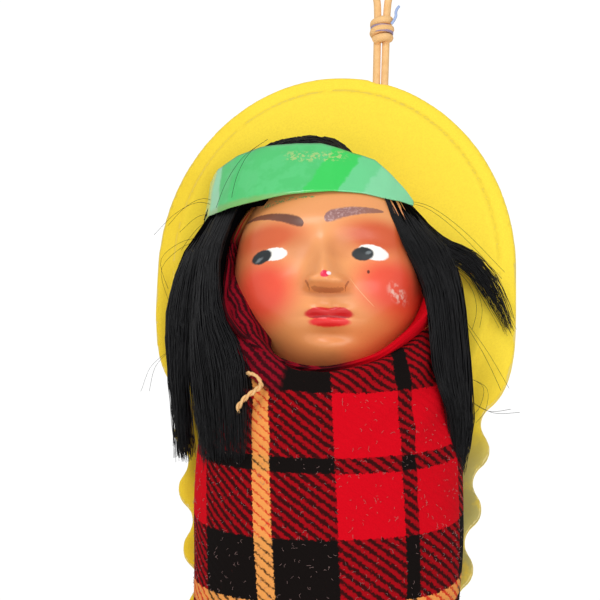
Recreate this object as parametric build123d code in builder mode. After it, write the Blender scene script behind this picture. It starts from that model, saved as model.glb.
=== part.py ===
"""Souvenir papoose doll on a hanging cradleboard, modelled as the separate pieces it is made of.

+Z is up, the doll faces -Y and +X is to its left hand, the viewer's right. The origin is the inside
top of the lace's hanging loop, where a nail or a hook carries the whole object. Sizes are in mm.
"""

import os
from math import cos, radians, sin, sqrt, tan

from build123d import *

# Hanging lace
LOOP_TO_BOARD = 42.0  # inside top of the loop down to the top of the board
LACE_WIDTH = 1.5
LACE_THICK = 1.4
LACE_PAIR = 3.1  # both strands side by side
LACE_Y = -LACE_THICK / 2  # the strands lie against the back panel
LACE_GLUED = 15.0  # length of lace that is glued between the panels
FOLD_ABOVE_EDGE = 1.2  # the fold line, above the edge of the board
FOLD_GAP = 0.15
LACE_ROUTE = (
    (0.80, -41.78),
    (0.90, -35.0),
    (1.25, -28.5),
    (3.4, -21.5),
    (5.9, -13.0),
    (6.2, -4.5),
    (3.0, 0.75),
    (-3.0, 0.75),
    (-6.0, -4.9),
    (-6.2, -13.4),
    (-3.6, -22.0),
    (-1.20, -28.7),
    (-0.86, -35.2),
    (-0.80, -41.78),
)
KNOT_TOP = -28.7
KNOT_BOTTOM = -35.2
KNOT_RADIUS = 2.35
WHIPPING_Z = -32.3
WHIPPING_HEIGHT = 1.5
WHIPPING_THICK = 0.4

# Board: two panels over a stiff core
BOARD_X = -7.6  # middle of the board, which hangs off centre on its lace
BOARD_HALF_WIDTH = 34.2
BOARD_ARCH = 39.0  # the elliptical top, down to the widest place
BOARD_HEIGHT = 139.0
BOARD_TAPER = 0.12  # inward per mm of height, along the scalloped sides
SCALLOP_PITCH = 11.3
SCALLOP_SWING = 2.3  # peak to valley
SCALLOP_ARCS = 11
FIRST_SCALLOP = {1: 65.8, -1: 62.7}  # depth below the top, on the right and on the left
SCALLOP_HALF_WIDTH = 29.4  # half width of the board where the first scallop starts
RIM_THICK = 1.8
PAD_RISE = 1.4  # the padded middle stands this far before the rim
PAD_INSET = 3.0
CORE_INSET = 3.8
CORE_THICK = 1.4
BACK_THICK = 1.4
BOARD_FACE = -(RIM_THICK + PAD_RISE)

# Doll
DOLL_X = BOARD_X + 0.6
HEAD_Y = -7.0
HEAD_BELOW_TOP = 42.5
HEAD_RADIUS = 18.4
HEAD_RISE = 22.2  # half of the head's height
MASK_THICK = 1.2
MASK_RIM_Y = -12.0
NOSE_RADIUS = 3.6
NOSE_RISE = 6.2
NOSE_BELOW_TOP = 46.0
NOSE_Y = -24.4
HOOD_THICK = 1.8
WINDOW_HALF_WIDTH = 17.0
WINDOW_RISE = 21.0
CLOTH_THICK = 1.2
WRAP_TOP = 52.0
# depth below the board's top, half width, half depth and middle of the figure's cross-sections
FIGURE = (
    (30.0, 17.6, 17.6, -7.0),
    (42.5, 20.6, 20.4, -7.0),
    (56.0, 21.5, 20.0, -7.2),
    (66.0, 23.0, 19.8, -7.6),
    (80.0, 24.3, 19.8, -8.0),
    (104.0, 24.0, 19.5, -8.0),
    (122.0, 21.5, 17.5, -7.0),
    (128.0, 17.5, 13.5, -6.0),
)
STITCH_X = -12.6
STITCH_BELOW_TOP = 72.5
STITCH_LENGTH = 5.0
STITCH_THICK = 1.0
STITCH_TURN = 40.0  # degrees, up to the right

# Hair and headband
CROWN_Y = -4.5
CROWN_RADIUS = 20.6
CROWN_RISE = 27.6
BAND_THICK = 0.5
BAND_TOP = 17.7
BAND_BOTTOM = 30.0
HAIR_CLEARANCE = 0.6
HAIR_THICK = 5.0
HAIR_OFF_BOARD = 0.5
CROWN_BOTTOM = 30.3
# outlines from the front: distance from the doll's middle and depth below the board's top
LEFT_LOCK = (
    (-23.8, 32.4),
    (-28.0, 41.0),
    (-30.6, 54.0),
    (-31.0, 68.0),
    (-29.6, 80.0),
    (-26.0, 76.5),
    (-22.6, 82.0),
    (-18.6, 77.0),
    (-15.4, 80.5),
    (-14.6, 68.0),
    (-16.4, 54.0),
    (-18.4, 42.0),
    (-18.4, 34.2),
)
RIGHT_LOCK = (
    (16.4, 34.2),
    (17.8, 42.0),
    (19.4, 52.0),
    (20.4, 66.0),
    (20.6, 79.0),
    (22.0, 86.5),
    (23.4, 79.5),
    (25.2, 84.0),
    (26.6, 72.0),
    (26.4, 58.0),
    (24.8, 44.0),
    (21.2, 32.8),
)
RIGHT_TUFT = (
    (21.5, 33.2),
    (22.5, 40.0),
    (27.0, 44.5),
    (30.0, 53.0),
    (30.5, 46.5),
    (33.6, 49.5),
    (30.0, 40.5),
    (25.0, 34.4),
)
TUFT_BACK = -4.2
TUFT_FRONT = -6.4
LOCK_TOP_ARC = 30.9

REACH = 400.0  # size of the blocks that trim a piece, larger than the object
BOARD_TOP = -LOOP_TO_BOARD
FRONT = Plane(origin=(BOARD_X, 0, BOARD_TOP), x_dir=(1, 0, 0), z_dir=(0, -1, 0))
DOLL_FRONT = Plane(origin=(DOLL_X, 0, BOARD_TOP), x_dir=(1, 0, 0), z_dir=(0, -1, 0))
HEAD = (DOLL_X, HEAD_Y, BOARD_TOP - HEAD_BELOW_TOP)
LACE_FRONT = Plane(origin=(0, LACE_Y, 0), x_dir=(1, 0, 0), z_dir=(0, -1, 0))
EDGE_AT_LACE = BOARD_TOP - BOARD_ARCH * (1 - sqrt(1 - (BOARD_X / BOARD_HALF_WIDTH) ** 2))
FOLD_Z = EDGE_AT_LACE + FOLD_ABOVE_EDGE


def finish(builder, name):
    """Label a finished piece and write it."""
    builder.part.label = name
    export_step(builder.part, f"parts/{name}.step")


def cut_behind(y):
    """Cut away what lies behind a depth y, in the piece being made."""
    with Locations((0, y, BOARD_TOP)):
        Box(REACH, REACH, REACH, align=(Align.CENTER, Align.MIN, Align.CENTER), mode=Mode.SUBTRACT)


def cut_before(y):
    """Cut away what lies before a depth y, in the piece being made."""
    with Locations((0, y, BOARD_TOP)):
        Box(REACH, REACH, REACH, align=(Align.CENTER, Align.MAX, Align.CENTER), mode=Mode.SUBTRACT)


def cut_above(depth):
    """Cut away what lies above a depth below the board's top, in the piece being made."""
    with Locations((0, 0, BOARD_TOP - depth)):
        Box(REACH, REACH, REACH, align=(Align.CENTER, Align.CENTER, Align.MIN), mode=Mode.SUBTRACT)


def cut_below(depth):
    """Cut away what lies below a depth below the board's top, in the piece being made."""
    with Locations((0, 0, BOARD_TOP - depth)):
        Box(REACH, REACH, REACH, align=(Align.CENTER, Align.CENTER, Align.MAX), mode=Mode.SUBTRACT)


def spheroid(centre, radius, rise):
    """An egg form, lofted from back to front through upright ellipses at even turns."""
    with BuildPart() as egg:
        for turn in range(-84, 85, 14):
            slice_y = centre[1] + radius * sin(radians(turn))
            share = cos(radians(turn))
            with BuildSketch(Plane(origin=(centre[0], slice_y, centre[2]), x_dir=(1, 0, 0), z_dir=(0, 1, 0))):
                Ellipse(radius * share, rise * share)
        loft()
    return egg.part


def figure(grow):
    """The wrapped figure's outer form, grown outwards, before its back is cut flat on the board."""
    with BuildPart() as form:
        for depth, half_width, half_depth, middle in FIGURE:
            with BuildSketch(Plane(origin=(DOLL_X, middle, BOARD_TOP - depth))):
                Ellipse(half_width + grow, half_depth + grow)
        loft()
    return form.part


def face_window():
    """The oval hole that the blanket leaves round the face."""
    with BuildPart() as window:
        with BuildSketch(Plane(origin=(HEAD[0], MASK_RIM_Y, HEAD[2]), x_dir=(1, 0, 0), z_dir=(0, -1, 0))):
            Ellipse(WINDOW_HALF_WIDTH, WINDOW_RISE)
        extrude(amount=40)
    return window.part


def scallops(side):
    """Draw one scalloped side downwards, valley first, and give its two ends."""
    down = Vector(-side * BOARD_TAPER, -1).normalized() * (SCALLOP_PITCH / 2)
    out = Vector(side, -BOARD_TAPER).normalized() * (SCALLOP_SWING / 2)
    first = Vector(side * SCALLOP_HALF_WIDTH, -FIRST_SCALLOP[side])
    here = first
    for turn in range(SCALLOP_ARCS):
        ThreePointArc(here, here + down * 0.5 + out * (-1) ** (turn + 1), here + down)
        here += down
    return first, here


os.makedirs("parts", exist_ok=True)

# ---- The board's outline: an elliptical top, scalloped sides and a rounded foot
with BuildSketch(FRONT) as board_outline:
    with BuildLine():
        EllipticalCenterArc((0, -BOARD_ARCH), BOARD_HALF_WIDTH, BOARD_ARCH, start_angle=0, arc_size=180)
        foot = {}
        for side in (1, -1):
            first, foot[side] = scallops(side)
            Spline(
                (side * BOARD_HALF_WIDTH, -BOARD_ARCH),
                first,
                tangents=((0, -1), (-side * (1 + BOARD_TAPER), -(1 - BOARD_TAPER))),
            )
        Spline(
            foot[1],
            (0, -BOARD_HEIGHT),
            foot[-1],
            tangents=((1 - BOARD_TAPER, -(1 + BOARD_TAPER)), (1 - BOARD_TAPER, 1 + BOARD_TAPER)),
        )
    make_face()


def inner_outline(inset):
    """The board's outline without its scallops, a distance in from the edge."""
    half = BOARD_HALF_WIDTH - inset
    low = SCALLOP_HALF_WIDTH - SCALLOP_SWING / 2 - inset
    drop = 58.0
    low_foot = low - BOARD_TAPER * drop
    with BuildSketch(FRONT) as shape:
        with BuildLine():
            EllipticalCenterArc((0, -BOARD_ARCH), half, BOARD_ARCH - inset, start_angle=0, arc_size=180)
            for side in (1, -1):
                Spline(
                    (side * half, -BOARD_ARCH),
                    (side * low, -FIRST_SCALLOP[1]),
                    tangents=((0, -1), (-side * BOARD_TAPER, -1)),
                )
                Line((side * low, -FIRST_SCALLOP[1]), (side * low_foot, -FIRST_SCALLOP[1] - drop))
            Spline(
                (low_foot, -FIRST_SCALLOP[1] - drop),
                (0, inset - BOARD_HEIGHT),
                (-low_foot, -FIRST_SCALLOP[1] - drop),
                tangents=((-BOARD_TAPER, -1), (-BOARD_TAPER, 1)),
            )
        make_face()
    return shape.sketch


# ---- Both ends of the lace, glued flat between the panels
with BuildPart() as lace_ends:
    with BuildSketch(Plane.XY.offset(FOLD_Z - LACE_THICK / 2 - FOLD_GAP)):
        with Locations((0, LACE_Y)):
            Rectangle(LACE_PAIR, LACE_THICK)
    extrude(amount=-LACE_GLUED)
finish(lace_ends, "lace_ends")

# ---- Stiff core between the panels
with BuildPart() as board_core:
    extrude(inner_outline(CORE_INSET), amount=CORE_THICK)
    add(lace_ends.part, mode=Mode.SUBTRACT)
finish(board_core, "board_core")

# ---- Back panel
with BuildPart() as board_back:
    extrude(board_outline.sketch, amount=-BACK_THICK)
    fillet(board_back.faces().sort_by(Axis.Y)[-1].edges(), BACK_THICK * 0.5)
finish(board_back, "board_back")

# ---- Front panel: a soft rolled rim and a padded middle, over the core
with BuildPart() as board_front:
    extrude(board_outline.sketch, amount=RIM_THICK)
    chamfer(board_front.faces().sort_by(Axis.Y)[0].edges(), RIM_THICK * 0.4)
    extrude(inner_outline(PAD_INSET), amount=RIM_THICK + PAD_RISE)
    chamfer(board_front.faces().sort_by(Axis.Y)[0].edges(), PAD_RISE * 0.7)
    add(board_core.part, mode=Mode.SUBTRACT)
    add(lace_ends.part, mode=Mode.SUBTRACT)
finish(board_front, "board_front")

# ---- Hanging lace: one strip that runs up through the knot, round the loop and down again
route = [(x, LACE_Y, z) for x, z in LACE_ROUTE]
runs = [Vector(b) - Vector(a) for a, b in zip(route, route[1:])]
radii = [
    0.45 * min(a.length, b.length) / tan(radians(a.get_angle(b)) / 2)
    for a, b in zip(runs, runs[1:])
]
print("lace radii", [round(r, 1) for r in radii])
with BuildPart() as hanging_lace:
    with BuildLine() as lace_line:
        FilletPolyline(*route, radius=radii)
    with BuildSketch(Plane(origin=route[0], x_dir=(1, 0, 0), z_dir=runs[0])):
        RectangleRounded(LACE_WIDTH, LACE_THICK, LACE_THICK * 0.3)
    sweep()
finish(hanging_lace, "hanging_lace")
lace_length = lace_line.wires()[0].length
section = LACE_WIDTH * LACE_THICK - (4 - 3.14159) * (LACE_THICK * 0.3) ** 2
swept = hanging_lace.part.volume
print("lace length", round(lace_length, 1), "volume", round(swept, 1), "of", round(section * lace_length, 1))

# ---- Knot in the doubled lace, with thread whipped round its middle
knot_axis = Axis((0, LACE_Y, 0), (0, 0, 1))
with BuildPart() as knot_whipping:
    with BuildSketch(LACE_FRONT):
        with Locations((KNOT_RADIUS * 0.9, WHIPPING_Z)):
            RectangleRounded(WHIPPING_THICK * 2, WHIPPING_HEIGHT, WHIPPING_THICK * 0.9)
    revolve(axis=knot_axis)
    add(hanging_lace.part, mode=Mode.SUBTRACT)
finish(knot_whipping, "knot_whipping")

with BuildPart() as lace_knot:
    middle = (KNOT_TOP + KNOT_BOTTOM) / 2
    with BuildSketch(LACE_FRONT):
        with BuildLine():
            Polyline((0, KNOT_TOP), (0, KNOT_BOTTOM), (KNOT_RADIUS * 0.6, KNOT_BOTTOM))
            Spline(
                (KNOT_RADIUS * 0.6, KNOT_BOTTOM),
                (KNOT_RADIUS, middle),
                (KNOT_RADIUS * 0.7, KNOT_TOP),
            )
            Line((KNOT_RADIUS * 0.7, KNOT_TOP), (0, KNOT_TOP))
        make_face()
    revolve(axis=knot_axis)
    add(hanging_lace.part, mode=Mode.SUBTRACT)
    add(knot_whipping.part, mode=Mode.SUBTRACT)
finish(lace_knot, "lace_knot")

# ---- Face mask: a thin moulded shell with its nose
head_form = spheroid(HEAD, HEAD_RADIUS, HEAD_RISE)
head_inside = spheroid(HEAD, HEAD_RADIUS - MASK_THICK, HEAD_RISE - MASK_THICK)
with BuildPart() as nose:
    add(spheroid((DOLL_X + 0.3, NOSE_Y, BOARD_TOP - NOSE_BELOW_TOP), NOSE_RADIUS, NOSE_RISE))
    add(head_inside, mode=Mode.SUBTRACT)
with BuildPart() as face_mask:
    add(head_form)
    cut_behind(MASK_RIM_Y)
    add(head_inside, mode=Mode.SUBTRACT)
    add(nose.part)
finish(face_mask, "face_mask")

# ---- Stuffing behind the mask
with BuildPart() as head_stuffing:
    add(head_form)
    cut_before(MASK_RIM_Y)
    add(head_inside)
    cut_behind(BOARD_FACE)
finish(head_stuffing, "head_stuffing")

# ---- Hood of the blanket, open round the face
hood_form = spheroid(HEAD, HEAD_RADIUS + HOOD_THICK, HEAD_RISE + HOOD_THICK)
window = face_window()
with BuildPart() as blanket_hood:
    add(hood_form)
    cut_behind(BOARD_FACE)
    add(window, mode=Mode.SUBTRACT)
    add(head_form, mode=Mode.SUBTRACT)
finish(blanket_hood, "blanket_hood")

# ---- Stuffed body inside the blanket
figure_form = figure(0)
figure_inside = figure(-CLOTH_THICK)
with BuildPart() as body_stuffing:
    add(figure_inside)
    cut_below(FIGURE[-1][0] - CLOTH_THICK)
    cut_above(WRAP_TOP)
    cut_behind(BOARD_FACE)
    add(hood_form, mode=Mode.SUBTRACT)
    add(window, mode=Mode.SUBTRACT)
finish(body_stuffing, "body_stuffing")

# ---- Blanket wrapped round the body
with BuildPart() as blanket_wrap:
    add(figure_form)
    cut_above(WRAP_TOP)
    cut_behind(BOARD_FACE)
    add(body_stuffing.part, mode=Mode.SUBTRACT)
    add(hood_form, mode=Mode.SUBTRACT)
    add(window, mode=Mode.SUBTRACT)
finish(blanket_wrap, "blanket_wrap")

# ---- Twine stitch that closes the blanket
stitch_y = -26.6
with BuildPart() as blanket_stitch:
    with BuildSketch(Plane(origin=(0, stitch_y, 0), x_dir=(1, 0, 0), z_dir=(0, -1, 0))):
        with Locations((DOLL_X + STITCH_X, BOARD_TOP - STITCH_BELOW_TOP)):
            SlotOverall(STITCH_LENGTH, STITCH_THICK, rotation=STITCH_TURN)
    extrude(amount=STITCH_THICK, both=True)
    add(figure_form, mode=Mode.SUBTRACT)
finish(blanket_stitch, "blanket_stitch")

# ---- Crown of hair over the top of the head
crown_centre = (HEAD[0], CROWN_Y, HEAD[2])
crown_form = spheroid(crown_centre, CROWN_RADIUS, CROWN_RISE)
band_form = spheroid(crown_centre, CROWN_RADIUS + BAND_THICK, CROWN_RISE + BAND_THICK)
with BuildPart() as hair_crown:
    add(crown_form)
    cut_below(CROWN_BOTTOM)
    cut_behind(BOARD_FACE)
    add(head_form, mode=Mode.SUBTRACT)
    add(blanket_hood.part, mode=Mode.SUBTRACT)
finish(hair_crown, "hair_crown")

# ---- Headband over the crown
with BuildPart() as headband:
    add(band_form)
    cut_below(BAND_BOTTOM)
    cut_above(BAND_TOP)
    cut_behind(CROWN_Y - 1)
    add(crown_form, mode=Mode.SUBTRACT)
    add(blanket_hood.part, mode=Mode.SUBTRACT)
finish(headband, "headband")

# ---- Loose locks of hair, which hang over the blanket from the temples
hair_inside = figure(HAIR_CLEARANCE)
hair_outside = figure(HAIR_CLEARANCE + HAIR_THICK)


def lock(outline, top):
    """A lock that lies round the figure, with this outline from the front and an arc over its top."""
    with BuildPart() as prism:
        with BuildSketch(DOLL_FRONT) as shape:
            with BuildLine():
                points = [(x, -depth) for x, depth in outline]
                Polyline(*points)
                ThreePointArc(points[-1], (top, -LOCK_TOP_ARC), points[0])
            make_face()
        extrude(amount=60)
    with BuildPart() as hair:
        add(hair_outside)
        cut_behind(BOARD_FACE - HAIR_OFF_BOARD)
        add(hair_inside, mode=Mode.SUBTRACT)
        add(prism.part, mode=Mode.INTERSECT)
    return hair.part


with BuildPart() as hair_left:
    add(lock(LEFT_LOCK, -21.2))
finish(hair_left, "hair_left")

with BuildPart() as hair_right:
    add(lock(RIGHT_LOCK, 18.8))
finish(hair_right, "hair_right")

# ---- Tuft that strays from the right lock over the board
with BuildPart() as hair_right_tuft:
    with BuildSketch(Plane(origin=(DOLL_X, TUFT_BACK, BOARD_TOP), x_dir=(1, 0, 0), z_dir=(0, -1, 0))):
        with BuildLine():
            Polyline(*[(x, -depth) for x, depth in RIGHT_TUFT], close=True)
        make_face()
    extrude(amount=TUFT_BACK - TUFT_FRONT)
    add(hair_right.part, mode=Mode.SUBTRACT)
finish(hair_right_tuft, "hair_right_tuft")
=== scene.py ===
# %% [markdown]
# # A papoose doll on a hanging cradleboard
# This lesson dresses a small souvenir: a blanket-wrapped doll on a yellow board that hangs by a lace.
# The frame holds every part at its true size and place, so each new piece is measured from the frame
# and never fitted by eye.

# %% Load the frame and measure it
import math
import random

import bpy
from mathutils import Matrix, Vector, noise


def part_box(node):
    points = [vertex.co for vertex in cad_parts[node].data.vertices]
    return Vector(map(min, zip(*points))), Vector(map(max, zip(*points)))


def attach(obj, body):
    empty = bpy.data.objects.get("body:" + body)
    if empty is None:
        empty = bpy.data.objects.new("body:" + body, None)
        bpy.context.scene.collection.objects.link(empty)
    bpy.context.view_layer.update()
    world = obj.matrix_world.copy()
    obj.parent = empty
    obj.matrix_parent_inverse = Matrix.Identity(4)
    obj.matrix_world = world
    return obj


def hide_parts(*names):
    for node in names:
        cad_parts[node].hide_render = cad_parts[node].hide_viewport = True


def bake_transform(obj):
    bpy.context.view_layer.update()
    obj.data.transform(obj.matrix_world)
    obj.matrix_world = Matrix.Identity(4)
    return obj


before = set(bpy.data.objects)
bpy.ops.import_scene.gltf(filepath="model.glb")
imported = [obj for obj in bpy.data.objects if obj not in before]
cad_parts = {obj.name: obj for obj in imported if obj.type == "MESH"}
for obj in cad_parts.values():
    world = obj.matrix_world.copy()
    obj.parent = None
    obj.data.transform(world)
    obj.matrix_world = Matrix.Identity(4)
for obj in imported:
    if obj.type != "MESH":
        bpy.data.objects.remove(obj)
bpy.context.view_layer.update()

MM = 0.001
board_low, board_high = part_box("board_front")
wrap_low, wrap_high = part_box("blanket_wrap")
TOP = board_high[2]
BOARD_FACE = board_low[1] / MM
DOLL_X = (wrap_low[0] + wrap_high[0]) / 2
print("top of the board", round(TOP, 4), "middle of the doll", round(DOLL_X, 4))

# %% [markdown]
# ## A few hand tools
# Most places on the doll are easiest to say in millimetres from the doll's middle and below the top of
# the board, so `at` turns such a place into the frame's metres. The other helpers select one piece, lay a
# grid over a curved form, and make tubes along lines.

# %% Places, picking and grids
def at(x, y, depth):
    """A point x mm right of the doll's middle, at y mm, and depth mm below the board's top."""
    return Vector((DOLL_X + x * MM, y * MM, TOP - depth * MM))


def pick(piece):
    """Select one piece only, and make it active."""
    bpy.ops.object.select_all(action="DESELECT")
    piece.select_set(True)
    bpy.context.view_layer.objects.active = piece


def ease(value, low, high):
    """0 below low, 1 above high, and a smooth step between them."""
    share = min(1.0, max(0.0, (value - low) / (high - low)))
    return share * share * (3 - 2 * share)


def smooth_shading(piece, angle=180):
    """Smooth normals, but for edges sharper than the angle."""
    pick(piece)
    bpy.ops.object.shade_smooth_by_angle(angle=math.radians(angle))


def grid_over(name, columns, rows, form, cloth=None, mark=None):
    """A grid laid over form(u, v), u and v from 0 to 1, with UVs from cloth and an attribute from mark."""
    bpy.ops.object.select_all(action="DESELECT")
    bpy.ops.mesh.primitive_grid_add(x_subdivisions=columns, y_subdivisions=rows, size=1, calc_uvs=True)
    piece = bpy.context.object
    piece.name = name
    shares = [(vertex.co.x + 0.5, vertex.co.y + 0.5) for vertex in piece.data.vertices]
    for vertex, (u, v) in zip(piece.data.vertices, shares):
        vertex.co = form(u, v)
    if cloth:
        layer = piece.data.uv_layers.active.data
        for loop in piece.data.loops:
            layer[loop.index].uv = cloth(*shares[loop.vertex_index])
    if mark:
        values = [mark(u, v) for u, v in shares]
        piece.data.attributes.new("mark", "FLOAT", "POINT").data.foreach_set("value", values)
    smooth_shading(piece)
    return piece


def apply_modifier(piece, kind, **settings):
    """Add a modifier, set it and apply it."""
    pick(piece)
    bpy.ops.object.modifier_add(type=kind)
    modifier = piece.modifiers[-1]
    for key, value in settings.items():
        setattr(modifier, key, value)
    bpy.ops.object.modifier_apply(modifier=modifier.name)


def smooth_line(points, steps=1):
    """The points of a smooth open line that has these points as its control points."""
    curve = bpy.data.curves.new("line", "CURVE")
    curve.dimensions = "3D"
    curve.resolution_u = steps
    spline = curve.splines.new("NURBS")
    spline.points.add(len(points) - 1)
    for point, place in zip(spline.points, points):
        point.co = (*place, 1)
    spline.order_u = 3
    spline.use_endpoint_u = True
    holder = bpy.data.objects.new("line", curve)
    mesh = bpy.data.meshes.new_from_object(holder)
    line = [vertex.co.copy() for vertex in mesh.vertices]
    bpy.data.meshes.remove(mesh)
    bpy.data.objects.remove(holder)
    bpy.data.curves.remove(curve)
    return line


def tubes(name, lines, radius, sides=0, taper=None):
    """One mesh of round tubes, one along each line of points; taper gives the radius along a line."""
    curve = bpy.data.curves.new(name, "CURVE")
    curve.dimensions = "3D"
    curve.bevel_depth = radius
    curve.bevel_resolution = sides
    curve.use_fill_caps = True
    for line in lines:
        spline = curve.splines.new("POLY")
        spline.points.add(len(line) - 1)
        for index, (point, place) in enumerate(zip(spline.points, line)):
            point.co = (*place, 1)
            point.radius = taper(index / (len(line) - 1)) if taper else 1.0
    piece = bpy.data.objects.new(name, curve)
    bpy.context.scene.collection.objects.link(piece)
    pick(piece)
    bpy.ops.object.convert(target="MESH")
    piece = bpy.context.object
    smooth_shading(piece)
    return piece


# %% [markdown]
# ## Camera
# The doll hangs at eye height and is seen from a little below and a little to its right, through a long
# lens. The camera is built from its own axes, so that its slight roll is plain to read.

# %% Camera
LOOK_AT = Vector((-0.0143, 0.0, -0.0870))
CAMERA_AZIMUTH = math.radians(5.5)
CAMERA_ELEVATION = math.radians(-17)
CAMERA_ROLL = math.radians(2)
CAMERA_DISTANCE = 0.48
VIEW_WIDTH = 0.114
toward = Vector((math.sin(CAMERA_AZIMUTH) * math.cos(CAMERA_ELEVATION),
                 -math.cos(CAMERA_AZIMUTH) * math.cos(CAMERA_ELEVATION),
                 math.sin(CAMERA_ELEVATION)))
level = Vector((0, 0, 1)).cross(toward).normalized()
upright = toward.cross(level)
right = level * math.cos(CAMERA_ROLL) + upright * math.sin(CAMERA_ROLL)
over = toward.cross(right)
bpy.ops.object.camera_add()
camera = bpy.context.object
camera.matrix_world = Matrix((right, over, toward)).transposed().to_4x4()
camera.location = LOOK_AT + toward * CAMERA_DISTANCE
camera.data.sensor_width = 36
camera.data.lens = 36 * CAMERA_DISTANCE / VIEW_WIDTH
camera.data.clip_start = 0.01
camera.data.clip_end = 20
bpy.context.scene.camera = camera
print("lens", round(camera.data.lens, 1), "mm")

# %% [markdown]
# ## Hanging lace
# One leather lace is glued into the board by both ends and knotted above it, so it makes a loop for a
# nail. It starts as a bevelled curve: the curve's own smooth line is read first, and then its tube is
# turned into a mesh.

# %% Lace
LACE_Y = -0.0007
LACE_ROUTE = (
    (0.80, -56.0), (0.79, -49.0), (0.80, -41.78), (0.85, -35.0), (0.85, -28.5), (1.2, -24.0),
    (5.2, -16.5), (6.3, -6.5), (3.4, 0.65), (-3.4, 0.65), (-6.3, -6.9), (-5.0, -17.0),
    (-1.2, -24.2), (-0.85, -28.7), (-0.85, -35.2), (-0.80, -41.78), (-0.79, -49.0), (-0.80, -56.0),
)
LACE_WIDTH = 1.5 * MM
lace_line = smooth_line([(x * MM, LACE_Y, z * MM) for x, z in LACE_ROUTE], steps=10)
lace = tubes("lace", [lace_line], LACE_WIDTH / 2, sides=3)
lace_run = sum((b - a).length for a, b in zip(lace_line, lace_line[1:]))
print("lace", round(lace_run * 1000, 1), "mm along its middle")

# %% [markdown]
# ## Knot and threads
# The knot is nearly three turns of the lace round itself, with lavender thread whipped round it and a
# pale blue thread caught in it. A helix whose radius swells in the middle gives tidy overlapping turns.

# %% Knot
knot_low, knot_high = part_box("lace_knot")


def helix(radius, low, high, turns, start=0.0, swell=0.0, steps=24):
    """Points on a helix about the lace, which swells outward at half its height."""
    count = int(turns * steps)
    line = []
    for index in range(count + 1):
        share = index / count
        angle = start + share * turns * 2 * math.pi
        reach = radius + swell * math.sin(share * math.pi)
        height = low + (high - low) * share
        line.append(Vector((reach * math.cos(angle), LACE_Y + reach * math.sin(angle), height)))
    return line


knot_turns = helix(1.35 * MM, knot_low[2] + 0.9 * MM, knot_high[2] - 0.7 * MM, 2.7, start=-2.6,
                   swell=0.25 * MM)
knot = tubes("knot", [knot_turns], 0.85 * MM, sides=3)
whip_low, whip_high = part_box("knot_whipping")
whipping = tubes(
    "whipping",
    [helix(2.1 * MM, whip_low[2] + 0.1 * MM, whip_high[2] + 0.1 * MM, 6, start=0.5)],
    0.17 * MM,
    sides=1,
)
thread_points = [
    (1.9 * MM, LACE_Y - 1.2 * MM, knot_high[2] - 2.4 * MM),
    (2.9 * MM, LACE_Y - 1.6 * MM, knot_high[2] - 1.2 * MM),
    (2.6 * MM, LACE_Y - 1.1 * MM, knot_high[2] + 0.5 * MM),
    (3.3 * MM, LACE_Y - 0.6 * MM, knot_high[2] + 1.6 * MM),
]
blue_thread = tubes("blue_thread", [smooth_line(thread_points, 8)], 0.28 * MM, sides=1)
for piece in (knot, whipping, blue_thread):
    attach(piece, "hanging_thong")
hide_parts("hanging_lace", "lace_ends")
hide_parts("lace_knot")
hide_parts("knot_whipping")
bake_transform(lace)

# %% [markdown]
# ## Board
# Two soft leather panels close over a stiff core, so every edge is rounded and the middle is padded. The
# frame's panels have the right outline but crisp corners. A copy of each is remeshed into small even
# faces and relaxed, which rounds the corners as glued leather does, without losing the scallops.

# %% Board panels
def softened(node, name, body, voxel, rounds):
    """A copy of a frame part, remeshed and relaxed, which stands for it on its body."""
    piece = bpy.data.objects.new(name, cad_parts[node].data.copy())
    bpy.context.scene.collection.objects.link(piece)
    piece.data.materials.clear()
    pick(piece)
    bpy.ops.object.mode_set(mode="EDIT")
    bpy.ops.mesh.select_all(action="SELECT")
    bpy.ops.mesh.remove_doubles(threshold=0.00001)
    bpy.ops.object.mode_set(mode="OBJECT")
    piece.data.remesh_voxel_size = voxel
    bpy.ops.object.voxel_remesh()
    apply_modifier(piece, "SMOOTH", factor=0.5, iterations=rounds)
    smooth_shading(piece)
    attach(piece, body)
    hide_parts(node)
    return piece


front_panel = softened("board_front", "front_panel", "cradle", 0.55 * MM, 14)
back_panel = softened("board_back", "back_panel", "cradle", 0.55 * MM, 3)
for piece in (front_panel, back_panel):
    print(piece.name, len(piece.data.polygons), "faces")

# %% [markdown]
# ## Wrapped body
# The blanket follows a stuffed roll: oval sections that swell at the shoulders and close at the foot.
# `on_roll` gives any point of that form, so the cloth, the hair and the stitch can all lie on it.

# %% Roll form
ROLL = (
    (30.0, 17.6, 17.6, -7.0), (42.5, 20.6, 20.4, -7.0), (56.0, 21.5, 20.0, -7.2), (66.0, 23.0, 19.8, -7.6),
    (80.0, 24.3, 19.8, -8.0), (104.0, 24.0, 19.5, -8.0), (120.0, 22.0, 18.0, -7.2), (126.5, 18.5, 14.5, -6.4),
    (129.4, 11.0, 8.5, -5.2), (130.2, 1.0, 1.0, -3.8),
)


def roll_section(depth):
    """Half width, half depth and middle of the roll's section at a depth below the board's top."""
    index = 0
    while index < len(ROLL) - 2 and depth > ROLL[index + 1][0]:
        index += 1
    rows = [ROLL[min(max(index + k, 0), len(ROLL) - 1)] for k in (-1, 0, 1, 2)]
    t = min(1.0, max(0.0, (depth - rows[1][0]) / (rows[2][0] - rows[1][0])))
    answer = []
    for column in (1, 2, 3):
        a, b, c, d = (row[column] for row in rows)
        slope_b = (c - a) / max(rows[2][0] - rows[0][0], 1e-6) * (rows[2][0] - rows[1][0])
        slope_c = (d - b) / max(rows[3][0] - rows[1][0], 1e-6) * (rows[2][0] - rows[1][0])
        answer.append((2 * t**3 - 3 * t**2 + 1) * b + (t**3 - 2 * t**2 + t) * slope_b
                      + (3 * t**2 - 2 * t**3) * c + (t**3 - t**2) * slope_c)
    return answer


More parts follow.
